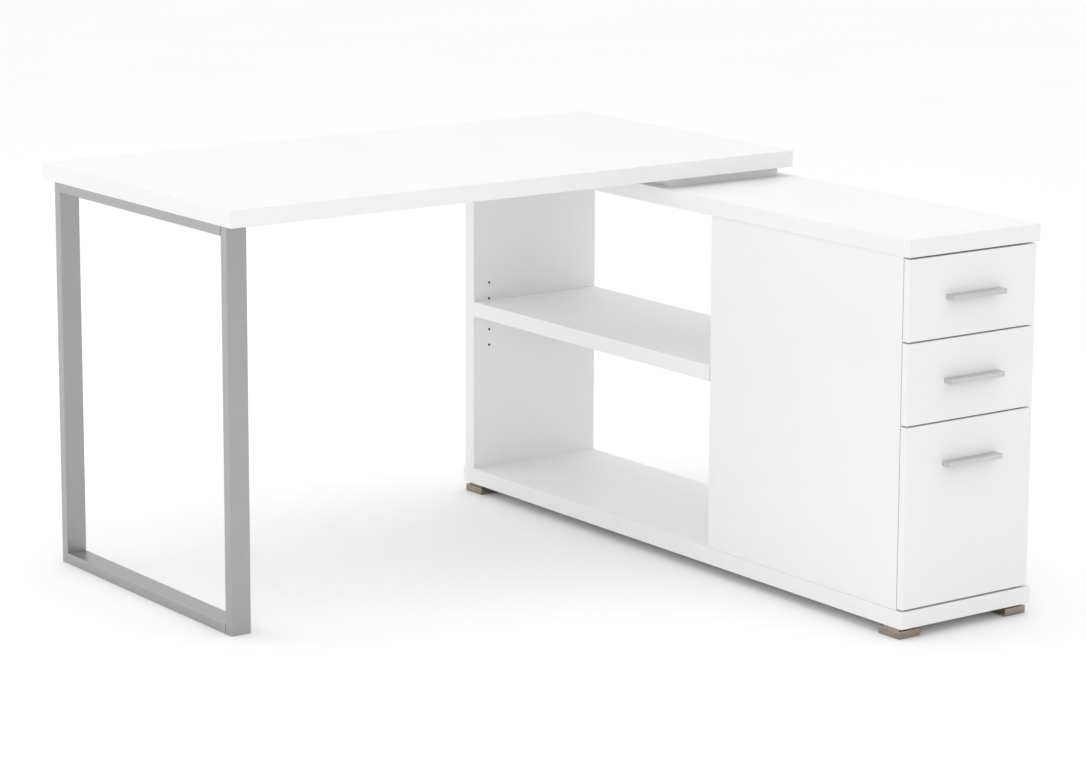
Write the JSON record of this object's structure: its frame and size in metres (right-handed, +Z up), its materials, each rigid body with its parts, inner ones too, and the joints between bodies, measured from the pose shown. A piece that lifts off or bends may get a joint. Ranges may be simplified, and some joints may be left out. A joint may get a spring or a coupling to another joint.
{
  "type": "corner desk",
  "caption": "L-shaped corner desk: thick white top on a silver loop leg, resting on a long low cabinet with open shelf bays and a bank of drawers on roller slides.",
  "frame": {"origin": "middle of the footprint, on the floor", "axes": "+X along the desk top from the loop leg to the cabinet, +Y to the back, drawers open towards -Y, +Z up"},
  "size_m": [1.246, 1.356, 0.756],
  "materials": {
    "white_laminate": "white melamine laminate on board, satin",
    "drawer_box": "white foil on thin board, matt",
    "core_paper": "plain kraft paper honeycomb",
    "silver_paint": "silver powder coat, satin",
    "satin_aluminium": "satin anodised",
    "satin_nickel": "brushed nickel plate",
    "zinc_steel": "zinc plated",
    "roller_nylon": "natural nylon",
    "black_plastic": "moulded, matt"
  },
  "bodies": {
    "frame": {"desktop_upper_skin": "white_laminate", "desktop_lower_skin": "white_laminate", "desktop_edge_frame": "white_laminate", "desktop_core": "core_paper", "leg_front_post": "silver_paint", "leg_rear_post": "silver_paint", "leg_top_rail": "silver_paint", "leg_bottom_rail": "silver_paint", "leg_connectors": "black_plastic", "leg_connector_screws": "zinc_steel", "leg_end_caps": "black_plastic", "leg_mounting_screws": "zinc_steel", "cabinet_top": "white_laminate", "cabinet_base": "white_laminate", "end_panel": "white_laminate", "divider_panel": "white_laminate", "inner_side_panel": "white_laminate", "outer_side_panel": "white_laminate", "shelf": "white_laminate", "shelf_pins": "zinc_steel", "riser_board": "white_laminate", "riser_bolts": "zinc_steel", "foot_front_inner": "satin_nickel", "foot_front_outer": "satin_nickel", "foot_rear_inner": "satin_nickel", "foot_rear_outer": "satin_nickel", "foot_screws": "zinc_steel", "cam_locks": "zinc_steel", "cam_bolts": "zinc_steel", "end_panel_screws": "zinc_steel", "cabinet_rails_inner": "zinc_steel", "cabinet_rails_outer": "zinc_steel"},
    "top_drawer": {"top_drawer_front": "white_laminate", "top_drawer_left_side": "drawer_box", "top_drawer_right_side": "drawer_box", "top_drawer_back": "drawer_box", "top_drawer_bottom": "drawer_box", "top_drawer_handle": "satin_aluminium", "top_drawer_rails": "zinc_steel"},
    "top_cabinet_rollers": {"top_cabinet_rollers": "roller_nylon"},
    "top_drawer_rollers": {"top_drawer_rollers": "roller_nylon"},
    "middle_drawer": {"middle_drawer_front": "white_laminate", "middle_drawer_left_side": "drawer_box", "middle_drawer_right_side": "drawer_box", "middle_drawer_back": "drawer_box", "middle_drawer_bottom": "drawer_box", "middle_drawer_handle": "satin_aluminium", "middle_drawer_rails": "zinc_steel"},
    "middle_cabinet_rollers": {"middle_cabinet_rollers": "roller_nylon"},
    "middle_drawer_rollers": {"middle_drawer_rollers": "roller_nylon"},
    "file_drawer": {"file_drawer_front": "white_laminate", "file_drawer_left_side": "drawer_box", "file_drawer_right_side": "drawer_box", "file_drawer_back": "drawer_box", "file_drawer_bottom": "drawer_box", "file_drawer_handle": "satin_aluminium", "file_drawer_rails": "zinc_steel", "file_drawer_hanging_bars": "zinc_steel"},
    "file_cabinet_rollers": {"file_cabinet_rollers": "roller_nylon"},
    "file_drawer_rollers": {"file_drawer_rollers": "roller_nylon"}
  },
  "joints": [
    {"name": "top_drawer_slide", "type": "slide", "parent": "frame", "child": "top_drawer", "axis": [0, -1, 0], "range_m": [0, 0.33]},
    {"name": "top_cabinet_roller_spin", "type": "hinge", "parent": "frame", "child": "top_cabinet_rollers", "pos_m": [0.471, -0.628, 0.5323], "axis": [1, 0, 0], "range_deg": [0, 1660]},
    {"name": "top_drawer_roller_spin", "type": "hinge", "parent": "top_drawer", "child": "top_drawer_rollers", "pos_m": [0.471, -0.21, 0.5295], "axis": [1, 0, 0], "range_deg": [0, 1660]},
    {"name": "middle_drawer_slide", "type": "slide", "parent": "frame", "child": "middle_drawer", "axis": [0, -1, 0], "range_m": [0, 0.33]},
    {"name": "middle_cabinet_roller_spin", "type": "hinge", "parent": "frame", "child": "middle_cabinet_rollers", "pos_m": [0.471, -0.628, 0.3853], "axis": [1, 0, 0], "range_deg": [0, 1660]},
    {"name": "middle_drawer_roller_spin", "type": "hinge", "parent": "middle_drawer", "child": "middle_drawer_rollers", "pos_m": [0.471, -0.21, 0.3825], "axis": [1, 0, 0], "range_deg": [0, 1660]},
    {"name": "file_drawer_slide", "type": "slide", "parent": "frame", "child": "file_drawer", "axis": [0, -1, 0], "range_m": [0, 0.33]},
    {"name": "file_cabinet_roller_spin", "type": "hinge", "parent": "frame", "child": "file_cabinet_rollers", "pos_m": [0.471, -0.628, 0.0733], "axis": [1, 0, 0], "range_deg": [0, 1660]},
    {"name": "file_drawer_roller_spin", "type": "hinge", "parent": "file_drawer", "child": "file_drawer_rollers", "pos_m": [0.471, -0.21, 0.0705], "axis": [1, 0, 0], "range_deg": [0, 1660]}
  ],
  "couplings": [
    {"joint": "top_cabinet_roller_spin", "follows": "top_drawer_slide", "rad_per_m": 87.719},
    {"joint": "top_drawer_roller_spin", "follows": "top_drawer_slide", "rad_per_m": 87.719},
    {"joint": "middle_cabinet_roller_spin", "follows": "middle_drawer_slide", "rad_per_m": 87.719},
    {"joint": "middle_drawer_roller_spin", "follows": "middle_drawer_slide", "rad_per_m": 87.719},
    {"joint": "file_cabinet_roller_spin", "follows": "file_drawer_slide", "rad_per_m": 87.719},
    {"joint": "file_drawer_roller_spin", "follows": "file_drawer_slide", "rad_per_m": 87.719}
  ]
}
